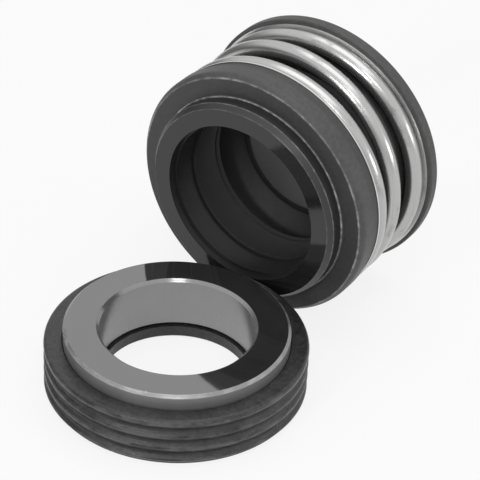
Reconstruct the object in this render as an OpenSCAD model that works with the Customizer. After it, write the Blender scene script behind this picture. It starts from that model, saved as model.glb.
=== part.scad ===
// Mechanical seal for a small pump: a hard seat ring in a ribbed rubber cup, lying flat, and beside it
// the sprung sealing head, lying on its rims with its axis along +Y and its nose towards the seat.
// Both stand on z = 0. The origin is under the middle of the pair.

/* [Shaft] */
// Diameter of the shaft that runs through the seal
shaft_d = 19.05; // [17:0.05:21]
// How much tighter than the shaft the bellows' tail is, on the radius
shaft_grip = 0.175; // [0.05:0.005:0.3]

/* [Seat ring] */
// Room between the shaft and the seat ring, on the radius
seat_clear = 0.675; // [0.3:0.025:1.2]
// Width of the seat ring, bore to outside
seat_ring_w = 4.75; // [3.5:0.05:6]
// How far the polished face stands above the cup's shoulder
seat_proud = 2.1; // [1:0.1:4]
// Small bevel on the seat ring's edges
seat_bevel = 0.4; // [0.1:0.05:0.6]
// Clearance between the seat ring and its cup, on the radius
seat_fit = 0.02; // [0.005:0.005:0.05]

/* [Seat cup] */
// Rubber between the seat ring and the crests of the ribs
cup_wall = 2.51; // [1.6:0.01:3.5]
// Height of the cup, floor to flat shoulder
cup_h = 7.2; // [5.5:0.05:9]
// Rubber under the seat ring
cup_floor_t = 1.8; // [0.8:0.1:2.4]
// How far the cup's lip stands in from the seat ring's bore
lip_in = 0.4; // [0:0.05:0.5]
// Depth of the grooves between the ribs
rib_depth = 0.45; // [0.1:0.05:0.7]
// Number of ribs, the foot's own edge counted
rib_count = 4; // [3:1:5]
// Height of the lowest rib's crest
foot_h = 0.95; // [0.8:0.05:1.2]
// Rounding of the cup's foot
foot_round = 0.45; // [0.2:0.05:0.6]
// Rounding of the shoulder's rim
shoulder_round = 0.5; // [0.2:0.05:0.8]

/* [Face ring] */
// Room between the shaft and the face ring, on the radius
face_clear = 2.175; // [1.8:0.025:2.8]
// Width of the face ring, bore to outside
face_ring_w = 3.05; // [2.2:0.05:4]
// How far the nose stands in front of the holder
nose_h = 2.5; // [1.8:0.1:3.5]
// Length of the face ring inside the holder
ring_seat_l = 2.6; // [1.8:0.1:3.4]
// Bevel of the nose, along the radius
nose_bevel_r = 0.6; // [0.2:0.05:1]
// Bevel of the nose, along the axis
nose_bevel_l = 0.8; // [0.2:0.05:1.2]
// Depth of the step inside the nose's bore
bore_step_l = 1.4; // [0.8:0.1:1.7]
// Height of that step, on the radius
bore_step_r = 0.3; // [0.1:0.05:0.6]
// Clearance between the face ring and the holder, on the radius
ring_fit = 0.03; // [0.01:0.01:0.1]

/* [Front holder] */
// Width of the holder's rim, from the face ring to its outside
holder_rim = 3.35; // [2.6:0.05:4.2]
// Rounding of the holder's front edge
holder_round = 1.1; // [0.4:0.1:1.6]
// Angle at which that rounding breaks off towards the face, in degrees
holder_slant = 40; // [20:5:60]
// Radius of the crisp edge between the face and the slant
holder_edge = 0.15; // [0.05:0.05:0.3]
// Height of the thin lip round the nose
nose_lip_h = 0.15; // [0.05:0.05:0.3]
// Width of that lip at its foot
nose_lip_w = 0.3; // [0.2:0.05:0.5]
// Thickness of the wall behind the face ring and the bellows' flange
holder_web = 0.9; // [0.5:0.05:1.5]
// Length of the narrower part at the back of the holder's side
neck_l = 1.6; // [0.8:0.1:2.2]
// How much narrower that part is, on the radius
holder_neck = 0.38; // [0.1:0.02:0.6]
// Length of the hub that centres the spring on the holder
front_hub_l = 3; // [2:0.1:3.6]
// Room between the hub's bore and the bellows' sleeve, on the radius
hub_clear = 0.55; // [0.3:0.05:0.9]

/* [Spring] */
// How far inside the holder's outside the spring's outside is
spring_inset = 0.1; // [0.05:0.05:0.5]
// Diameter of the spring wire
wire_d = 2.4; // [1.6:0.05:2.7]
// Length of the spring between its two washers
spring_l = 11.65; // [10:0.05:14]
// Turns of the spring that are free to close up
active_turns = 1.5; // [1:0.1:2]
// Flat turns at each end
end_turns = 0.6; // [0.4:0.05:0.8]
// Clock angle of the spring's front tip, from the top, seen from the nose
tip_angle = 150; // [0:5:355]
// Clearance between the spring and the hubs inside it, on the radius
spring_clear = 0.35; // [0.1:0.05:0.6]

/* [Washers] */
// Thickness of the two steel washers
washer_t = 0.25; // [0.2:0.05:0.4]
// How far the front washer's rim stays inside the spring's outside
front_washer_in = 0.15; // [0:0.05:0.4]
// How far the rear washer's rim stands past the spring's outside
rear_washer_out = 0.2; // [0:0.05:0.4]
// Clearance between a washer and its hub, on the radius
washer_clear = 0.1; // [0.02:0.02:0.3]

/* [Back plate] */
// How far the back plate stands past the holder's outside
plate_over = 0.65; // [0.55:0.05:1.5]
// Thickness of the back plate's rim
plate_t = 1.7; // [1.2:0.1:3]
// Rounding of the back plate's edges
plate_round = 0.3; // [0.1:0.05:0.5]
// Length of the hub that centres the spring on the back plate
back_hub_l = 3; // [2:0.1:3.6]

/* [Bellows] */
// Thickness of the rubber at the tail that grips the shaft
tail_wall = 2.65; // [1.6:0.05:2.8]
// Length of that tail
tail_l = 4.9; // [4.2:0.1:5.5]
// Thickness of the bellows' sleeve
sleeve_t = 1; // [0.6:0.05:1.2]
// Room between the bellows' fold and the inside of the spring
fold_clear = 1.1; // [0.6:0.05:1.6]
// Thickness of the flange behind the face ring
flange_t = 0.9; // [0.6:0.1:1.2]
// Play of that flange, on each side
flange_play = 0.05; // [0.02:0.01:0.1]

/* [Drive band] */
// Thickness of the steel band round the bellows' tail
band_t = 0.55; // [0.3:0.05:0.8]
// Length of the band
band_l = 4; // [3:0.1:4.4]
// Clearance on each side of the band, on the radius
band_fit = 0.02; // [0.005:0.005:0.05]

/* [Placing] */
// How far the seat's axis is to the right of the head's axis
seat_side = 3; // [0:0.5:6]
// Gap between the cup and the plane of the head's nose
nose_gap = 0.6; // [0.3:0.1:0.9]

/* [Hidden] */
$fn = 96;

// Seat
shaft_r = shaft_d / 2;
seat_bore_r = shaft_r + seat_clear;
seat_r = seat_bore_r + seat_ring_w;
cup_r = seat_r + cup_wall;
seat_face_h = cup_h + seat_proud;
crest_z = cup_h - shoulder_round - 0.05;
rib_pitch = (crest_z - foot_h) / (rib_count - 1);
rib_steps = 10;
trough_at = 0.62;

// Head, on the radius
face_bore_r = shaft_r + face_clear;
ring_r = face_bore_r + face_ring_w;
holder_r = ring_r + holder_rim;
spring_r = holder_r - spring_inset;
hub_r = spring_r - wire_d - spring_clear;
plate_r = holder_r + plate_over;
grip_r = shaft_r - shaft_grip;
tail_r = grip_r + tail_wall;
sleeve_r = tail_r - 0.05;
fold_r = spring_r - wire_d - fold_clear;
hub_bore_r = sleeve_r + hub_clear;
band_r0 = tail_r + band_fit;
band_r1 = band_r0 + band_t;
plate_bore_r = band_r1 + band_fit;

// Head, along its own axis: 0 at the holder's front face, plus is towards the back
socket_z = ring_seat_l + flange_t + 2 * flange_play;
holder_l = socket_z + holder_web;
spring_z0 = holder_l + washer_t;
spring_z1 = spring_z0 + spring_l;
plate_z = spring_z1 + washer_t;
rear_z = plate_z + plate_t;
tail_z = rear_z - tail_l;

// The head lies on the holder's rim and on the wider back plate's rim, so its back is a little higher
lean_a = plate_r - plate_round - holder_r + holder_round;
lean_b = plate_z + plate_round - holder_round;
lean_c = holder_round - plate_round;
tilt = acos(lean_c / sqrt(lean_a * lean_a + lean_b * lean_b)) - atan2(lean_b, lean_a);
head_z = (holder_r - holder_round) * cos(tilt) - holder_round * sin(tilt) + holder_round;

// Distances along Y, and the place of both axes that puts the pair's middle on the origin
nose_reach = cup_r + nose_gap + nose_h / cos(tilt) - (head_z - crest_z) * tan(tilt);
head_reach = (plate_r - plate_round) * sin(tilt) + (rear_z - plate_round) * cos(tilt) + plate_round;
right_reach = max(plate_r, seat_side + cup_r);
head_x = (plate_r - right_reach) / 2;
seat_x = head_x + seat_side;
seat_y = (cup_r - nose_reach - head_reach) / 2;
head_y = seat_y + nose_reach;

// Points of a rounded corner
function corner(cx, cy, r, a0, a1, n = 6) =
    [for (i = [0:n]) let (a = a0 + (a1 - a0) * i / n) [cx + r * cos(a), cy + r * sin(a)]];

// Depth of the ribbed wall below a crest, as a share of the groove's depth; u is 0 at one crest and 1 at the next
function groove(u) = u < trough_at ? (1 - cos(180 * u / trough_at)) / 2
                                   : (1 + cos(180 * (u - trough_at) / (1 - trough_at))) / 2;

// Ribbed wall, from the foot up to the top crest
function ribs() = [for (i = [(rib_count - 1) * rib_steps:-1:0])
    let (u = i / rib_steps)
    [cup_r - rib_depth * groove(u - floor(u)), crest_z - rib_pitch * u]];

module seat_cup() {
    lip_r = seat_bore_r - lip_in;
    color([0.10, 0.10, 0.10])
    translate([seat_x, seat_y, 0])
    rotate_extrude()
    polygon(concat(
        [[lip_r, 0.3], [lip_r + 0.3, 0]],
        corner(cup_r - rib_depth - foot_round, foot_round, foot_round, -90, 0),
        ribs(),
        corner(cup_r - shoulder_round, cup_h - shoulder_round, shoulder_round, 0, 90),
        [[seat_r + seat_fit + 0.15, cup_h], [seat_r + seat_fit, cup_h - 0.15],
         [seat_r + seat_fit, cup_floor_t], [lip_r, cup_floor_t]]));
}

module seat_ring() {
    color([0.35, 0.35, 0.36])
    translate([seat_x, seat_y, 0])
    rotate_extrude()
    polygon([
        [seat_bore_r, cup_floor_t + seat_bevel],
        [seat_bore_r + seat_bevel, cup_floor_t],
        [seat_r - seat_bevel, cup_floor_t],
        [seat_r, cup_floor_t + seat_bevel],
        [seat_r, seat_face_h - seat_bevel],
        [seat_r - seat_bevel, seat_face_h],
        [seat_bore_r + seat_bevel, seat_face_h],
        [seat_bore_r, seat_face_h - seat_bevel]]);
}

// Puts a shape that is drawn along +Z from the holder's face into the head's place, top towards -Y
module on_head() {
    translate([head_x, head_y, head_z])
    rotate([tilt - 90, 0, 0])
    children();
}

module face_ring() {
    bore_r = face_bore_r;
    color([0.25, 0.25, 0.26])
    on_head()
    rotate_extrude()
    polygon([
        [bore_r, -nose_h],
        [ring_r - nose_bevel_r, -nose_h],
        [ring_r, -nose_h + nose_bevel_l],
        [ring_r, ring_seat_l - 0.2],
        [ring_r - 0.2, ring_seat_l],
        [bore_r - bore_step_r, ring_seat_l],
        [bore_r - bore_step_r, -nose_h + bore_step_l],
        [bore_r, -nose_h + bore_step_l]]);
}

module front_holder() {
    neck_r = holder_r - holder_neck;
    neck_z = holder_l - neck_l;
    edge_x = holder_r - holder_round
        + (holder_round - holder_edge) * (1 - sin(holder_slant)) / cos(holder_slant);
    color([0.14, 0.14, 0.14])
    on_head()
    rotate_extrude()
    polygon(concat(
        [[ring_r + ring_fit, socket_z], [ring_r + ring_fit, -nose_lip_h],
         [ring_r + ring_fit + nose_lip_w / 3, -nose_lip_h], [ring_r + ring_fit + nose_lip_w, 0]],
        corner(edge_x, holder_edge, holder_edge, -90, -holder_slant, 3),
        corner(holder_r - holder_round, holder_round, holder_round, -holder_slant, 0, 6),
        [[holder_r, neck_z], [neck_r + 0.05, neck_z + 0.25], [neck_r, holder_l],
         [hub_r, holder_l], [hub_r, holder_l + front_hub_l - 0.4],
         [hub_r - 0.4, holder_l + front_hub_l], [hub_bore_r, holder_l + front_hub_l],
         [hub_bore_r, socket_z]]));
}

// Flat steel washer that starts at z
module washer(z, r1) {
    color([0.80, 0.80, 0.80])
    on_head()
    translate([0, 0, z])
    difference() {
        cylinder(h = washer_t, r = r1);
        translate([0, 0, -1]) cylinder(h = washer_t + 2, r = hub_r + washer_clear);
    }
}

module front_washer() {
    washer(holder_l, spring_r - front_washer_in);
}

module rear_washer() {
    washer(spring_z1, spring_r + rear_washer_out);
}

// Left-hand spring: u counts turns from the front tip, the rise starts after the flat end turns
wire_r = wire_d / 2;
coil_r = spring_r - wire_r;
turns = active_turns + 2 * end_turns;
coil_steps = 60;
coil_sides = 16;
coil_rings = round(turns * coil_steps);
coil_play = 0.02;
flat_cut = 0.04;
coil_z0 = spring_z0 + coil_play + wire_r - flat_cut;
coil_z1 = spring_z1 - coil_play - wire_r + flat_cut;
tip_taper_l = 0.12;
tip_taper = 0.45;

function share(u) = min(1, max(0, (u - end_turns) / active_turns));
function eased(u) = (share(u - 0.04) + share(u) + share(u + 0.04)) / 3;
function tip_drop(u) = tip_taper * wire_r * max(0, 1 - u / tip_taper_l);
function coil_z(u) = coil_z0 + (coil_z1 - coil_z0) * eased(u) - tip_drop(u) + tip_drop(turns - u);
function flat_end(z) = min(spring_z1 - coil_play, max(spring_z0 + coil_play, z));
function coil_point(u, a) =
    let (phi = tip_angle - 360 * u, r = coil_r + wire_r * cos(a), z = flat_end(coil_z(u) + wire_r * sin(a)))
    [r * sin(phi), -r * cos(phi), z];

module spring() {
    points = [for (i = [0:coil_rings]) for (k = [0:coil_sides - 1])
        coil_point(turns * i / coil_rings, 360 * (k + 0.5) / coil_sides)];
    sides = [for (i = [0:coil_rings - 1]) for (k = [0:coil_sides - 1])
        let (n = (k + 1) % coil_sides)
        [i * coil_sides + k, (i + 1) * coil_sides + k, (i + 1) * coil_sides + n, i * coil_sides + n]];
    start = [for (k = [0:coil_sides - 1]) k];
    finish = [for (k = [coil_sides - 1:-1:0]) coil_rings * coil_sides + k];
    color([0.82, 0.82, 0.82])
    on_head()
    polyhedron(points = points, faces = concat([start, finish], sides), convexity = 6);
}

module bellows() {
    in_r = sleeve_r - sleeve_t;
    in_fold = fold_r - sleeve_t;
    z0 = ring_seat_l + flange_play;
    z1 = z0 + flange_t;
    f0 = holder_l + front_hub_l + 0.4;
    f1 = tail_z - 1;
    fl = f1 - f0;
    color([0.08, 0.08, 0.08])
    on_head()
    rotate_extrude()
    polygon([
        [in_r, z0], [ring_r - 0.35, z0], [ring_r - 0.35, z1], [sleeve_r, z1],
        [sleeve_r, f0], [fold_r - 0.5, f0 + 0.11 * fl], [fold_r, f0 + 0.26 * fl],
        [fold_r, f1 - 0.26 * fl], [fold_r - 0.5, f1 - 0.11 * fl], [tail_r, f1 + 0.3],
        [tail_r, rear_z - 0.2], [tail_r - 0.2, rear_z],
        [grip_r + 0.2, rear_z], [grip_r, rear_z - 0.2], [grip_r, tail_z],
        [in_r, f1 + 0.2], [in_fold - 0.3, f1 - 0.31 * fl], [in_fold, f1 - 0.39 * fl],
        [in_fold, f0 + 0.39 * fl], [in_fold - 0.3, f0 + 0.31 * fl], [in_r, f0 + 0.5]]);
}

module drive_band() {
    color([0.75, 0.75, 0.75])
    on_head()
    translate([0, 0, rear_z - 0.3 - band_l])
    difference() {
        cylinder(h = band_l, r = band_r1);
        translate([0, 0, -1]) cylinder(h = band_l + 2, r = band_r0);
    }
}

module back_plate() {
    color([0.13, 0.13, 0.13])
    on_head()
    rotate_extrude()
    polygon(concat(
        [[plate_bore_r, plate_z - back_hub_l], [hub_r - 0.4, plate_z - back_hub_l],
         [hub_r, plate_z - back_hub_l + 0.4], [hub_r, plate_z]],
        corner(plate_r - plate_round, plate_z + plate_round, plate_round, -90, 0, 4),
        corner(plate_r - plate_round, rear_z - plate_round, plate_round, 0, 90, 4),
        [[plate_bore_r + 0.2, rear_z], [plate_bore_r, rear_z - 0.2]]));
}

seat_cup();
seat_ring();
front_holder();
face_ring();
front_washer();
spring();
bellows();
drive_band();
rear_washer();
back_plate();
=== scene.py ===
# %% [markdown]
# # A pump shaft seal in two halves
#
# A mechanical seal keeps water in a pump where the shaft comes out. One half stands still: a hard, polished ring in a
# ribbed rubber cup. The other half turns with the shaft: a spring presses its smooth face ring against the first one.
# The solids come from the part's own source. This lesson dresses them: it makes the finishes, winds the spring,
# turns the rubber bellows, and sets up the floor, the light and the camera.

# %% Start from the solids
import math

import bpy
from mathutils import Matrix, Vector


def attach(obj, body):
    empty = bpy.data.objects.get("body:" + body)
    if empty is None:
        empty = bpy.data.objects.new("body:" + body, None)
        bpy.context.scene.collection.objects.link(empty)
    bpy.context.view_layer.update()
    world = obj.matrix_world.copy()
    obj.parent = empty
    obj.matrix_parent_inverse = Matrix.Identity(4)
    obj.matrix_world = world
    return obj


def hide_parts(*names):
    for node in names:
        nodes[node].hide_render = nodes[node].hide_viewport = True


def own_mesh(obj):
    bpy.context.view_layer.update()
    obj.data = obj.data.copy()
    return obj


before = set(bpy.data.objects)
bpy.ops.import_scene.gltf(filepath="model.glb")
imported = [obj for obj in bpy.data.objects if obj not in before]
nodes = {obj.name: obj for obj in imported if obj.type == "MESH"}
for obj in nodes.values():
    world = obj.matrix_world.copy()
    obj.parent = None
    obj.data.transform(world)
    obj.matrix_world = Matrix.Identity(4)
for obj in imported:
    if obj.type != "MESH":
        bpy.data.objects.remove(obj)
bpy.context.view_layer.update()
MM = 0.001
print("solids:", sorted(nodes))

# %% [markdown]
# ## Where things are
#
# The seat stands on its foot, so its axis is vertical. The head lies on two rims of different width, so its axis
# leans back by a little more than two degrees. Everything on the head is described along that axis: 0 is the
# holder's front face and plus is towards the back plate. The angle goes clockwise from the top, seen from the nose.
# Lengths on the part are in millimetres, and `on_head` turns them into Blender's metres. The floor, the lamps and the
# camera are given in metres.

# %% The two axes
SEAT_X, SEAT_Y = 2.145, -10.862767
HEAD = Vector((-0.855, 9.232684663, 18.040726263))
AXIS = Vector((0.0, 0.9991619021, 0.0409327923))
UP = Vector((0.0, -0.0409327923, 0.9991619021))
RIGHT = Vector((1.0, 0.0, 0.0))
NOSE = -2.5


def on_head(radius, angle, along):
    """A point on the head, in metres, from millimetres and degrees."""
    a = math.radians(angle)
    return (HEAD + AXIS * along + (RIGHT * math.sin(a) + UP * math.cos(a)) * radius) * MM


print("nose's middle:", tuple(round(c, 4) for c in on_head(0, 0, NOSE)))

# %% [markdown]
# ## Shader maths as plain Python
#
# Materials need sums such as "rough where the surface isn't the lapped face". Wiring them by hand hides the idea, and
# so does a long list of node calls. So one small class wraps an output of a node and lets Python's own signs add the
# Math nodes: `1 - mask` works, because each sign has its form for a plain number on the left too.


# %% A value in a shader
class Value:
    """One output of a node, to be used like a number."""

    def __init__(self, wiring, socket):
        self.wiring, self.socket = wiring, socket

    def math(self, operation, *terms):
        return self.wiring.add("ShaderNodeMath", {"operation": operation}, terms)

    def __add__(self, other):
        return self.math("ADD", self, other)

    def __radd__(self, other):
        return self.math("ADD", other, self)

    def __sub__(self, other):
        return self.math("SUBTRACT", self, other)

    def __rsub__(self, other):
        return self.math("SUBTRACT", other, self)

    def __mul__(self, other):
        return self.math("MULTIPLY", self, other)

    def __rmul__(self, other):
        return self.math("MULTIPLY", other, self)

    def __truediv__(self, other):
        return self.math("DIVIDE", self, other)

    def __rtruediv__(self, other):
        return self.math("DIVIDE", other, self)

    def __pow__(self, other):
        return self.math("POWER", self, other)

    def __rpow__(self, other):
        return self.math("POWER", other, self)

    def step(self, low, high):
        """0 below low, 1 above high, smooth between; swap them to turn it round."""
        return self.wiring.add(
            "ShaderNodeMapRange", {"interpolation_type": "SMOOTHSTEP"},
            {"Value": self, "From Min": low, "From Max": high, "To Min": 0.0, "To Max": 1.0})


print("values know", sorted(name.strip("_") for name in vars(Value) if name.startswith("__r")))

# %% [markdown]
# ## A tree of nodes
#
# Materials and the world are both trees of nodes. Every node that isn't plain maths comes from one method,
# `Wiring.add`, which takes the node's type, its settings and what its inputs get. Colours can't go through a Math
# node, which would turn them grey, so they have `mix`.


# %% Nodes by type, settings and inputs
class Wiring:
    """A node tree that takes nodes by type, settings and inputs."""

    def __init__(self, tree):
        self.tree = tree

    def add(self, kind, settings=None, inputs=(), out=0):
        """Adds a node: its settings first, then what goes into its sockets. Gives back one output."""
        node = self.tree.nodes.new(kind)
        for key, setting in (settings or {}).items():
            setattr(node, key, setting)
        for key, term in inputs.items() if isinstance(inputs, dict) else enumerate(inputs):
            self.plug(term, node.inputs[key])
        return Value(self, node.outputs[out])

    def plug(self, term, socket):
        """Links a value to a socket, or writes a plain number or colour on it."""
        if isinstance(term, Value):
            self.tree.links.new(term.socket, socket)
        else:
            socket.default_value = term

    def mix(self, share, first, second):
        """first where share is 0, second where it is 1. Sockets 6, 7 and 2 are the colours' ones of a Mix node."""
        return self.add("ShaderNodeMix", {"data_type": "RGBA"}, {0: share, 6: first, 7: second}, out=2)

    def split(self, vector):
        """The three numbers of a vector."""
        node = self.add("ShaderNodeSeparateXYZ", None, {"Vector": vector}).socket.node
        return [Value(self, node.outputs[axis]) for axis in "XYZ"]

    def join(self, x, y, z):
        return self.add("ShaderNodeCombineXYZ", None, (x, y, z))

    def ray(self, kind):
        """1 where the ray that asks is of this kind."""
        return self.add("ShaderNodeLightPath", out=f"Is {kind} Ray")


def grey(level, blue=None):
    """A grey colour; blue is given where the grey is a touch cool or warm."""
    return (level, level, level if blue is None else blue, 1.0)


print("a warm grey:", grey(0.5, 0.49))

# %% [markdown]
# ## A finish
#
# A finish is a material round one Principled shader. What is the same all over is written straight on the shader's
# sockets. What changes over the surface is made of noise, in millimetres of the part's own frame, so that a mark
# keeps its size on any piece. A map laid over each mesh would do too, but the solids have none, and noise in space
# has no seams.


# %% A material round one shader
class Finish(Wiring):
    """A material round one Principled shader."""

    def __init__(self, name, **constants):
        self.material = bpy.data.materials.new(name)
        self.material.use_nodes = True
        super().__init__(self.material.node_tree)
        self.shader = self.tree.nodes["Principled BSDF"]
        for socket, number in constants.items():
            self.shader.inputs[socket].default_value = number

    def set(self, socket, term):
        self.plug(term, self.shader.inputs[socket])

    def place(self):
        """Where the surface is, in millimetres of the part's own frame."""
        spot = self.add("ShaderNodeTexCoord", out="Object")
        return self.add("ShaderNodeVectorMath", {"operation": "SCALE"}, {"Vector": spot, "Scale": 1 / MM})

    def noise(self, vector, scale, detail=3.0, roughness=0.5):
        return self.add("ShaderNodeTexNoise", None,
                        {"Vector": vector, "Scale": scale, "Detail": detail, "Roughness": roughness})

    def specks(self, vector, scale, size):
        """Small round spots, such as dust: 1 in a spot, 0 elsewhere. A slower noise leaves most of them out."""
        far = self.add("ShaderNodeTexVoronoi", None, {"Vector": vector, "Scale": scale})
        few = self.noise(vector, scale * 0.21, detail=1.0).step(0.60, 0.66)
        return far.step(size, size * 0.6) * few

    def bump(self, height, depth, strength):
        """Marks that are depth millimetres deep where height goes from 0 to 1."""
        self.set("Normal", self.add("ShaderNodeBump", None,
                                    {"Height": height, "Distance": depth * MM, "Strength": strength}))


def dress(finish, *names):
    """Gives solids of the frame this finish in place of their plain colour."""
    for name in names:
        slots = nodes[name].data.materials
        slots.clear()
        slots.append(finish.material)
    print(finish.material.name, "on", ", ".join(names))


print("finish helpers ready")

# %% [markdown]
# ## Places in polar form
#
# Turned and ground parts carry marks that run round their axis. So a finish often asks how far a point is from its
# axis, how far along it, and at what angle. Round and round noise comes from giving it the radius and the height but
# not the angle. The head's axis leans, so its place is turned into the head's own directions first.


# %% Radius, angle and height about the seat's or the head's axis
def polar(finish, across, up, along):
    """The radius, the angle and the place along an axis, from places across it, up from it and along it."""
    radius = (across * across + up * up) ** 0.5
    angle = finish.add("ShaderNodeMath", {"operation": "ARCTAN2"}, (across, up))
    return radius, angle, along


def about_seat(finish):
    x, y, z = finish.split(finish.place())
    return polar(finish, y - SEAT_Y, x - SEAT_X, z)


def about_head(finish):
    x, y, z = finish.split(finish.place())
    x, y, z = x - HEAD.x, y - HEAD.y, z - HEAD.z
    return polar(finish, x, y * UP.y + z * UP.z, y * AXIS.y + z * AXIS.z)


print("polar helpers ready")

# %% [markdown]
# ## The hard seat ring
#
# The ring is sintered black ceramic. Its top is lapped flat until it works as a mirror, and its side and bore are
# only ground. A ceramic like this bends light strongly, with an index of about 2.65, so it sends back a fifth of a
# white room although its own colour is nearly black. That is why it looks mid grey and not black. A metal shader
# would tint the mirror and lose the brighter rim at low angles, so the plain shader with a high index is used. The
# bevel under the lapped face tells where each of these finishes goes, and its outer side is a little chipped.

# %% Ceramic finish
SEAT_TOP, SEAT_BEVEL = 9.3, 0.4
SEAT_BORE_R, SEAT_MIDDLE_R = 10.2, 12.5

ceramic = Finish("lapped_ceramic", IOR=2.65)
radius, angle, height = about_seat(ceramic)
flat = height.step(SEAT_TOP - 0.015, SEAT_TOP - 0.002)
inside = radius.step(SEAT_BORE_R + 0.5, SEAT_BORE_R + 0.4)
bevel = height.step(SEAT_TOP - SEAT_BEVEL - 0.01, SEAT_TOP - SEAT_BEVEL + 0.03) - flat
outer = bevel * radius.step(SEAT_MIDDLE_R - 0.1, SEAT_MIDDLE_R + 0.1)
chips = ceramic.noise(ceramic.join(angle * 4.0, height * 0.9, radius * 0.3),
                      scale=2.2, detail=4.0, roughness=0.65).step(0.44, 0.66)
marks = ceramic.noise(ceramic.join(angle * 14.0, height * 0.10, 0.0), scale=1.4, detail=4.0, roughness=0.6)
grooves = ceramic.noise(ceramic.join(radius * 0.5, height * 5.0, angle * 0.4), scale=1.6)
cloud = ceramic.noise(ceramic.place(), scale=0.30, detail=5.0, roughness=0.6)
dust = ceramic.specks(ceramic.place(), scale=0.42, size=0.11)
mirror = ceramic.mix(cloud, grey(0.020, 0.021), grey(0.036, 0.037))
ground = ceramic.mix(cloud * 0.6 + marks * 0.4, grey(0.085, 0.086), grey(0.135))
body = ceramic.mix(outer * chips * 0.45, ceramic.mix(flat, ground, mirror), grey(0.30))
ceramic.set("Base Color", ceramic.mix(dust * 0.5, body, grey(0.50, 0.49)))
ceramic.set("Roughness", 0.045 + (1 - flat) * (0.30 + marks * 0.10) - inside * (1 - flat) * 0.14
            - bevel * 0.09 + outer * chips * 0.14 + dust * 0.4)
ceramic.bump((1 - flat) * (grooves * 0.5 + marks * 0.35) + outer * chips * 1.2 + cloud * 0.10 * flat,
             depth=0.03, strength=0.4)
dress(ceramic, "seat_ring")

# %% [markdown]
# ## The face ring
#
# The turning ring is pressed carbon. It is lapped too, but carbon sends back far less light than the ceramic, so the
# nose looks darker than the seat, and a usual index of 1.52 is enough. Its side keeps faint turning marks. Both edges
# of the bevel are painted bright in places: a painted highlight along each edge, broken up by nicks of wear. They are
# drawn as thin bands of radius and length, because a band that follows the shape stays on its edge from every side.

# %% Carbon finish
FACE_RING_R, NOSE_R, BEVEL_BACK = 14.75, 14.15, -1.7

carbon = Finish("lapped_carbon", IOR=1.52)
radius, angle, along = about_head(carbon)
flat = along.step(NOSE + 0.015, NOSE + 0.002)
turned = carbon.noise(carbon.join(radius * 5.0, along * 7.0, 0.0), scale=1.5)
grain = carbon.noise(carbon.place(), scale=2.6, detail=5.0, roughness=0.6)
nicks = carbon.noise(carbon.join(angle * 9.0, radius * 0.5, along * 0.5),
                     scale=2.0, detail=4.0, roughness=0.65).step(0.40, 0.72)
rim = (radius.step(NOSE_R - 0.10, NOSE_R - 0.01) * radius.step(NOSE_R + 0.09, NOSE_R + 0.01)
       * along.step(NOSE + 0.3, NOSE + 0.1))
shoulder = (radius.step(FACE_RING_R - 0.09, FACE_RING_R - 0.01) * along.step(BEVEL_BACK - 0.16, BEVEL_BACK - 0.02)
            * along.step(BEVEL_BACK + 0.15, BEVEL_BACK + 0.02))
# Bright bands on both edges of the bevel: a painted highlight, varied by nicks of wear.
wear_and_highlight = (rim * 0.5 + shoulder) * (0.25 + nicks * 0.75)
lapped = carbon.mix(grain, grey(0.009), grey(0.020))
side = carbon.mix(turned, grey(0.014), grey(0.026))
carbon.set("Base Color", carbon.mix(wear_and_highlight * 0.8, carbon.mix(flat, side, lapped), grey(0.30, 0.295)))
carbon.set("Roughness", 0.07 + (1 - flat) * (0.26 + turned * 0.14))
carbon.bump((1 - flat) * turned + grain * 0.2, depth=0.03, strength=0.5)
dress(carbon, "face_ring")

# %% [markdown]
# ## The rubber cup
#
# The cup is moulded rubber, dull black with a soft sheen. The mould leaves it slightly uneven, and rubber always holds
# some dust. The crests of the ribs are painted lighter: partly rubbed wear, partly a painted highlight. A plain black
# would hide the ribs. The sheen is what makes them show, so the rubber gets a middle roughness that varies from place
# to place, and a colour in blotches.

# %% Moulded rubber finish
CUP_R = 17.46

rubber = Finish("moulded_rubber", IOR=1.5)
radius, angle, height = about_seat(rubber)
uneven = rubber.noise(rubber.place(), scale=0.55, detail=5.0, roughness=0.6)
mottle = rubber.noise(rubber.place(), scale=2.2, roughness=0.6)
fine = rubber.noise(rubber.place(), scale=7.0, roughness=0.6)
smear = rubber.noise(rubber.join(angle * 5.0, radius * 0.25, height * 0.6), scale=1.3, detail=4.0, roughness=0.6)
crest = radius.step(CUP_R - 0.24, CUP_R)
dust = rubber.specks(rubber.place(), scale=0.75, size=0.13)
blotches = uneven.step(0.25, 0.75) * 0.6 + mottle.step(0.35, 0.65) * 0.4
dull = rubber.mix(blotches, grey(0.007), grey(0.036))
# Lighter rib crests: partly rubbed wear, partly a painted highlight.
rubbed_and_highlit = rubber.mix(crest * smear.step(0.40, 0.62) * 0.8, dull, grey(0.095, 0.094))
rubber.set("Base Color", rubber.mix(dust * 0.75, rubbed_and_highlit, grey(0.50, 0.49)))
rubber.set("Roughness", 0.20 + uneven * 0.16 + smear * 0.14 + fine * 0.04 - crest * 0.05)
rubber.bump(uneven * 1.2 + mottle * 0.5 + fine * 0.25 + smear * 0.6, depth=0.14, strength=0.5)
dress(rubber, "seat_cup")

# %% [markdown]
# ## Holder and back plate
#
# Both are moulded in a filled black resin: flatter than the rubber, with a fine grain and a light bloom. Faint
# rings on the front face come from the tool that faced it. The front face is painted darker than the wall, and the
# narrow neck next to the spring a little darker too: both are painted shade. The crisp edge in front and the thin lip
# round the nose carry a painted highlight, a bright band, and are also worn where hands and tools touch them. A bright
# line all round would look painted, so two noises break it up, a quick one for the nicks and a slow one for where it
# was handled.

# %% Moulded resin finish
EDGE_R, LIP_R = 17.52, 15.05
NECK_FRONT, HOLDER_BACK = 2.9, 4.5

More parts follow.
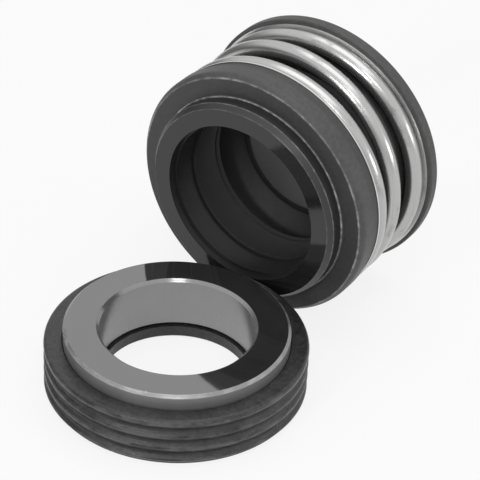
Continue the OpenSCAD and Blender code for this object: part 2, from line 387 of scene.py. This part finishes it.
resin = Finish("moulded_resin", IOR=1.5)
radius, angle, along = about_head(resin)
bloom = resin.noise(resin.place(), scale=0.32, detail=5.0, roughness=0.6)
mottle = resin.noise(resin.place(), scale=1.6, detail=4.0, roughness=0.65)
grain = resin.noise(resin.place(), scale=9.0, roughness=0.65)
faced = resin.noise(resin.join(radius * 4.0, along * 1.5, 0.0), scale=1.3, detail=2.0)
nicks = resin.noise(resin.join(angle * 8.0, radius * 0.5, along * 0.5),
                    scale=2.0, detail=4.0, roughness=0.65).step(0.38, 0.70)
handled = resin.noise(resin.join(angle * 1.6, radius * 0.3, 0.0), scale=1.4, detail=2.0).step(0.35, 0.65)
face = along.step(0.05, 0.0) * along.step(-0.5, -0.3)
edge = (radius.step(EDGE_R - 0.16, EDGE_R - 0.06) * radius.step(EDGE_R + 0.20, EDGE_R + 0.06)
        * along.step(0.25, 0.05))
lip = along.step(-0.03, -0.10) * radius.step(LIP_R + 0.05, LIP_R - 0.07)
neck_shade = along.step(NECK_FRONT - 0.05, NECK_FRONT + 0.05) * along.step(HOLDER_BACK + 0.05, HOLDER_BACK - 0.05)
# Bright bands on the front edge and the nose lip: a painted highlight, varied by nicks and handling wear.
wear_and_highlight = (edge * 0.7 + lip) * (0.2 + nicks * 0.8) * (0.45 + handled * 0.55)
skin_and_shade = resin.mix(bloom * 0.5 + mottle.step(0.30, 0.70) * 0.5, grey(0.036), grey(0.078))
# The front face is painted darker: painted shade.
skin_and_shade = resin.mix(face * 0.5, skin_and_shade, grey(0.018))
# The neck next to the spring is painted darker: painted shade.
skin_and_shade = resin.mix(neck_shade * 0.4, skin_and_shade, grey(0.022))
resin.set("Base Color", resin.mix(wear_and_highlight, skin_and_shade, grey(0.46, 0.45)))
resin.set("Roughness", 0.34 + grain * 0.14 + mottle * 0.16)
resin.bump(grain * 0.8 + mottle * 0.9 + faced * 0.35, depth=0.06, strength=0.45)
dress(resin, "front_holder", "back_plate")

# %% [markdown]
# ## Steel sheet
#
# The two washers and the band round the bellows' tail are bright sheet, of which only edges show. Rolling leaves it
# slightly streaked. It is metal all through, so its colour is the colour of its reflections.

# %% Sheet finish
sheet = Finish("bright_sheet", Metallic=1.0)
radius, angle, along = about_head(sheet)
rolled = sheet.noise(sheet.join(radius * 3.0, angle * 2.0, along * 8.0), scale=2.0)
sheet.set("Base Color", sheet.mix(rolled, grey(0.60), grey(0.68, 0.67)))
sheet.set("Roughness", 0.22 + rolled * 0.06)
sheet.bump(rolled, depth=0.01, strength=0.2)
dress(sheet, "front_washer", "rear_washer", "drive_band")

# %% [markdown]
# ## Steel wire
#
# The spring is drawn wire: the die leaves fine scratches along it, so its highlights break up into streaks. Noise in
# space can't follow a wire that winds round. So the spring's mesh carries a map, with the turns in `u` and the way
# round the wire in `v`, and the noise is stretched along `u`. The shader is a little less than all metal, which keeps
# the wire's edges bright at low angles.

# %% Wire finish
wire = Finish("drawn_wire", Metallic=0.86)
u, v, _ = wire.split(wire.add("ShaderNodeTexCoord", out="UV"))
scratches = wire.noise(wire.join(u * 14.0, v * 60.0, 0.0), scale=1.0, detail=5.0, roughness=0.65)
lines = wire.noise(wire.join(u * 3.0, v * 24.0, 0.0), scale=1.0)
patches = wire.noise(wire.join(u * 22.0, v * 3.0, 0.0), scale=1.0, detail=4.0, roughness=0.6)
stain = patches.step(0.55, 0.72)
wire.set("Base Color", wire.mix(stain * 0.5 + scratches * 0.3 + lines * 0.3, grey(0.58, 0.575), grey(0.22, 0.218)))
wire.set("Roughness", 0.17 + scratches * 0.12 + stain * 0.12)
wire.bump(scratches * 0.7 + lines, depth=0.05, strength=0.4)
print("drawn_wire ready for the spring")

# %% [markdown]
# ## The spring
#
# The spring is wound from one round wire, left-handed. Its ends are closed, so six tenths of a turn lie flat at each
# end, and both ends are ground so that it stands square on its washers. A curve with a bevel would give the tube, but
# not the ground flats. So the tube is swept ring by ring, and points beyond the grinding plane are pressed onto it.

# %% Wind the spring
SPRING_FRONT, SPRING_BACK = 4.77, 16.38
WIRE_R, COIL_R, TIP_ANGLE = 1.2, 16.8, 150.0
FLAT_TURNS, FREE_TURNS = 0.6, 1.5
TURNS = FREE_TURNS + 2 * FLAT_TURNS
BEND_TURNS = 0.04
GROUND_OFF = 0.04
TIP_SINK, TIP_TURNS = 0.45, 0.12
RINGS, SIDES = 300, 36


def risen(u):
    """How much of the way from front to back the wire has gone after u turns."""
    share = [min(1.0, max(0.0, (u + d - FLAT_TURNS) / FREE_TURNS)) for d in (-BEND_TURNS, 0.0, BEND_TURNS)]
    return sum(share) / 3


def sunk(u):
    """How far the tip sinks into the grinding plane, u turns from it."""
    return TIP_SINK * WIRE_R * max(0.0, 1 - u / TIP_TURNS)


def wire_ring(u):
    """The points round the wire, u turns from its front tip."""
    low, high = SPRING_FRONT + WIRE_R - GROUND_OFF, SPRING_BACK - WIRE_R + GROUND_OFF
    middle = low + (high - low) * risen(u) - sunk(u) + sunk(TURNS - u)
    ring = []
    for k in range(SIDES):
        a = math.tau * k / SIDES
        along = min(SPRING_BACK, max(SPRING_FRONT, middle + WIRE_R * math.sin(a)))
        ring.append(on_head(COIL_R + WIRE_R * math.cos(a), TIP_ANGLE - 360 * u, along))
    return ring


turns_at = [TURNS * i / RINGS for i in range(RINGS + 1)]
rings = [wire_ring(u) for u in turns_at]
print("spring:", TURNS, "turns,", len(rings), "rings")

# %% [markdown]
# ## From points to a piece
#
# A piece of the model is a mesh and the object that carries it. It rides on one of the frame's bodies, so that it
# moves with it. Soft shading makes its faces look like one round surface, and the edges between faces that meet at
# more than a certain angle stay sharp. Doing that by angle saves naming the edges one by one.


# %% Make a piece
def make_piece(name, points, faces, finish, body, sharp):
    """A smooth mesh that rides on a body, with its edges sharp from so many degrees on."""
    mesh = bpy.data.meshes.new(name)
    mesh.from_pydata(points, [], faces)
    for face in mesh.polygons:
        face.use_smooth = True
    mesh.set_sharp_from_angle(angle=math.radians(sharp))
    mesh.materials.append(finish.material)
    piece = bpy.data.objects.new(name, mesh)
    bpy.context.scene.collection.objects.link(piece)
    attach(piece, body)
    return piece


# %% [markdown]
# ## From rings to a mesh
#
# Each ring of points is joined to the next by four-cornered faces, and a flat face closes each end. A map goes on at
# the same time, because only here is it known how many turns lie before a ring and how far round the wire a point
# is. Each corner is written as its ring, its point and its place round the wire, which runs on to a full round where
# the points start again.

# %% Build the spring's mesh with its map
CAP_TURNS = 0.002

faces, maps = [], []
for i in range(RINGS):
    for k in range(SIDES):
        n = (k + 1) % SIDES
        corners = [(i, k, k), (i, n, k + 1), (i + 1, n, k + 1), (i + 1, k, k)]
        faces.append([ring * SIDES + point for ring, point, _ in corners])
        maps.append([(turns_at[ring], around / SIDES) for ring, _, around in corners])
for i, order in ((0, -1), (RINGS, 1)):
    spots = list(range(SIDES))[::order]
    faces.append([i * SIDES + k for k in spots])
    maps.append([(turns_at[i] + CAP_TURNS * math.cos(math.tau * k / SIDES), k / SIDES) for k in spots])
coil = make_piece("spring_coil", [point for ring in rings for point in ring], faces, wire, "resting", sharp=35)
layer = coil.data.uv_layers.new(name="wire")
for face, spots in zip(coil.data.polygons, maps):
    for loop, spot in zip(face.loop_indices, spots):
        layer.data[loop].uv = spot
print("spring faces:", len(coil.data.polygons))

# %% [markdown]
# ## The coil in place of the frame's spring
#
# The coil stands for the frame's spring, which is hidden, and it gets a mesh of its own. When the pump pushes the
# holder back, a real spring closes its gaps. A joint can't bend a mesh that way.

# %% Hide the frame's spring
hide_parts("spring")
tuple(on_head(0, 0, SPRING_BACK))
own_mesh(coil)

# %% [markdown]
# ## The bellows' rubber
#
# The bellows only shows through the gaps in the spring and down the bore, in deep shadow. Its rubber is softer and
# duller than the cup's, so it has no dust or rubbed places, only an uneven skin.

# %% Soft rubber finish
soft = Finish("bellows_rubber", IOR=1.5)
uneven = soft.noise(soft.place(), scale=0.6, detail=5.0, roughness=0.6)
fine = soft.noise(soft.place(), scale=8.0, roughness=0.6)
soft.set("Base Color", soft.mix(uneven, grey(0.010), grey(0.020)))
soft.set("Roughness", 0.52 + uneven * 0.16)
soft.bump(uneven + fine * 0.4, depth=0.1, strength=0.5)
print("bellows_rubber ready")

# %% [markdown]
# ## Turning a profile
#
# Like the mould that made it, the bellows is a profile turned about an axis. Blender has a Screw modifier for that,
# but a few lines place the points straight on the leaning axis. Rubber has no crisp corners, so each corner of the
# profile is cut by a small arc first: the corner point pulls a curve between two points on its sides.

# %% Turn a closed outline about the head's axis
AROUND, ARC_STEPS = 128, 4


def rounded(points, cut):
    """Cuts each corner of a closed outline by up to cut millimetres with a small arc."""
    out = []
    count = len(points)
    for i in range(count):
        here, before, after = (Vector(points[j % count]) for j in (i, i - 1, i + 1))
        back, ahead = before - here, after - here
        size = min(cut, back.length * 0.45, ahead.length * 0.45)
        start, end = here + back.normalized() * size, here + ahead.normalized() * size
        for s in range(ARC_STEPS + 1):
            t = s / ARC_STEPS
            out.append(start * (1 - t) ** 2 + here * 2 * t * (1 - t) + end * t ** 2)
    return out


def turned_piece(name, outline, body):
    """Turns a closed outline of (radius, along) about the head's axis."""
    count = len(outline)
    points = [on_head(radius, 360 * k / AROUND, along) for k in range(AROUND) for radius, along in outline]
    faces = []
    for k in range(AROUND):
        here, there = k * count, (k + 1) % AROUND * count
        for i in range(count):
            n = (i + 1) % count
            faces.append([here + i, there + i, there + n, here + n])
    return make_piece(name, points, faces, soft, body, sharp=40)


print("corners of a square after rounding:", len(rounded([(0, 0), (1, 0), (1, 1), (0, 1)], 0.2)))

# %% [markdown]
# ## The bellows
#
# The bellows is one rubber moulding: a flange behind the face ring, a thin sleeve with one fold, and a thick tail that
# grips the shaft. When the spring is pressed, the flange and the sleeve move back with the holder, the fold shortens
# and the tail stays. One squashed mesh would lag behind the holder and cut into it. So it is three meshes that meet
# where nobody looks: inside the holder's hub and inside the tail's shoulder.

# %% Make the bellows in three pieces
FOLD_FRONT, FOLD_BACK = 7.3, 13.44
SLEEVE_IN, SLEEVE_OUT = 10.95, 11.95
FLANGE_R, FLANGE_FRONT, FLANGE_BACK = 14.4, 2.65, 3.55
GRIP_R, TAIL_FRONT, TAIL_BACK = 9.35, 13.45, 18.35
JOINT_GAP = 0.01

front = [(SLEEVE_IN, FLANGE_FRONT), (FLANGE_R, FLANGE_FRONT), (FLANGE_R, FLANGE_BACK), (SLEEVE_OUT, FLANGE_BACK),
         (SLEEVE_OUT, FOLD_FRONT - JOINT_GAP), (SLEEVE_IN, FOLD_FRONT - JOINT_GAP)]
waist = [(SLEEVE_OUT, FOLD_FRONT), (SLEEVE_OUT, 7.95), (14.0, 8.4), (14.5, 9.08), (14.5, 11.27), (14.0, 11.95),
         (SLEEVE_OUT, 12.72), (SLEEVE_OUT, FOLD_BACK), (10.0, FOLD_BACK), (SLEEVE_IN, 12.65), (13.2, 11.0),
         (13.5, 10.65), (13.5, 9.7), (13.2, 9.35), (SLEEVE_IN, 8.4), (SLEEVE_IN, FOLD_FRONT)]
tail = [(11.98, TAIL_FRONT), (12.0, TAIL_BACK - 0.2), (11.8, TAIL_BACK), (GRIP_R + 0.2, TAIL_BACK),
        (GRIP_R, TAIL_BACK - 0.2), (GRIP_R, TAIL_FRONT)]
sleeve = turned_piece("bellows_sleeve", rounded(front, 0.15), "sliding_front")
fold = turned_piece("bellows_fold", rounded(waist, 0.3), "resting")
grip = turned_piece("bellows_tail", rounded(tail, 0.15), "resting")
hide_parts("bellows")
tuple(on_head(0, 0, FOLD_BACK))
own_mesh(fold)
print("bellows faces:", sum(len(piece.data.polygons) for piece in (sleeve, fold, grip)))

# %% [markdown]
# ## The floor
#
# The floor is a plain pale sheet. For the camera and for reflections most of it glows as white as paper, and the rest
# is real paper, so that the shadows stay. A floor that is lit up to white would need far too much light on the part.
# Bright wire only shows its shape if something around it is dark. In the photograph that is at the front left, so
# there, further out than a hand, the floor is dark in reflections. `DARK_X` and `DARK_Y` are that direction. The dark
# comes up between the two numbers of `DARK_EDGE`, cosines of the angle from it, and the room uses all of them too.

# %% Floor
DARK_X, DARK_Y, DARK_EDGE = -0.745, -0.667, (0.05, 0.65)
FLOOR_SIZE, FLOOR_DROP, FLOOR_GLOW = 4.0, 0.00002, 0.84

paper = Finish("pale_floor", Roughness=0.9)
x, y, _ = paper.split(paper.place())
away = (x * x + y * y) ** 0.5
far = away.step(100.0, 240.0) * ((x * DARK_X + y * DARK_Y) / away).step(*DARK_EDGE)
mirrored = paper.ray("Glossy")
paper.set("Base Color", paper.mix(mirrored * far, grey(0.84), grey(0.12)))
paper.bump(paper.noise(paper.place(), scale=0.8), depth=0.02, strength=0.2)
seen = paper.ray("Camera") + mirrored * (1 - far) + paper.ray("Transmission")
glow = paper.add("ShaderNodeEmission", None, {"Color": grey(1.0), "Strength": 1.0})
plain = Value(paper, paper.shader.outputs["BSDF"])
blend = paper.add("ShaderNodeMixShader", None, (seen * FLOOR_GLOW, plain, glow))
paper.plug(blend, paper.tree.nodes["Material Output"].inputs["Surface"])
bpy.ops.mesh.primitive_plane_add(size=FLOOR_SIZE, location=(0, 0, -FLOOR_DROP))
floor = bpy.context.object
floor.name = "floor"
floor.data.materials.append(paper.material)
print("floor:", FLOOR_SIZE, "m wide")

# %% [markdown]
# ## The room
#
# The room is white where the camera looks past the floor, and half as bright for soft light. In reflections it is
# brightest overhead and dark low down at the front left, which gives the lapped faces and the wire their contrast.
# Cards and walls round the part would do the same. The world needs no objects and can't get into another view.

# %% Room
SOFT_LIGHT, LEVEL_LIGHT, DARKENING = 0.5, 0.72, 0.84

room = bpy.data.worlds.new("room")
bpy.context.scene.world = room
room.use_nodes = True
sky = Wiring(room.node_tree)
background = room.node_tree.nodes["Background"]
sky.plug(grey(1.0), background.inputs["Color"])
x, y, z = sky.split(sky.add("ShaderNodeTexCoord", out="Generated"))
dark = (x * DARK_X + y * DARK_Y).step(*DARK_EDGE) * z.step(0.55, 0.15)
over = (LEVEL_LIGHT + z.step(0.0, 0.5) * (1 - LEVEL_LIGHT)) * (1 - dark * DARKENING)
direct = sky.ray("Camera") + sky.ray("Transmission")
mirrored = sky.ray("Glossy")
sky.plug(direct + mirrored * over + (1 - direct - mirrored) * SOFT_LIGHT, background.inputs["Strength"])
print("room nodes:", len(room.node_tree.nodes))

# %% [markdown]
# ## The lamps
#
# Four lamps do the rest: a wide one overhead, a small one high at the front right and a low one at the right, which
# make the two highlights on each coil of the spring, and a low one in front, which lights the ribs and the holder's
# face. They are areas and not points, because a polished part shows each lamp's shape in its reflections.

# %% Lamps
PART_MIDDLE = Vector((0, 0, 0.012))


def lamp(name, place, watts, wide, tall):
    """A rectangular lamp that looks at the part's middle; places and sizes are in metres."""
    light = bpy.data.lights.new(name, "AREA")
    light.shape, light.size, light.size_y, light.energy = "RECTANGLE", wide, tall, watts
    holder = bpy.data.objects.new(name, light)
    holder.location = place
    holder.rotation_euler = (PART_MIDDLE - Vector(place)).to_track_quat("-Z", "Y").to_euler()
    bpy.context.scene.collection.objects.link(holder)
    print(f"{name}: {watts} W")


lamp("lamp_over", (0.00, 0.06, 0.46), watts=0.64, wide=0.42, tall=0.38)
lamp("lamp_high", (0.19, -0.27, 0.40), watts=0.26, wide=0.12, tall=0.12)
lamp("lamp_right", (0.44, 0.14, 0.115), watts=0.24, wide=0.15, tall=0.10)
lamp("lamp_front", (0.00, -0.42, 0.20), watts=0.50, wide=0.08, tall=0.08)

# %% [markdown]
# ## The camera
#
# A long lens from the front right, 34 degrees above the floor, as the photograph was taken, and turned three degrees
# about its own line of sight. Its directions are given as vectors, so nothing depends on guessing angles.

# %% Camera
CAMERA_AT = Vector((0.123984, -0.181846, 0.165261))
AIM = Vector((-0.45583127, 0.69130440, -0.56063899))
ACROSS = Vector((0.81755176, 0.57422208, 0.04333733))
UPWARD = Vector((-0.35189058, 0.43859689, 0.82692551))

camera = bpy.data.cameras.new("camera")
camera.lens, camera.sensor_width = 150.0, 36.0
camera.clip_start, camera.clip_end = 0.01, 10.0
viewer = bpy.data.objects.new("camera", camera)
viewer.matrix_world = Matrix.Translation(CAMERA_AT) @ Matrix((ACROSS, UPWARD, -AIM)).transposed().to_4x4()
bpy.context.scene.collection.objects.link(viewer)
bpy.context.scene.camera = viewer
bpy.context.scene.view_settings.view_transform = "Standard"
print("camera", round(camera.lens), "mm")

# %% [markdown]
# What is seen may not be bigger than the solids.
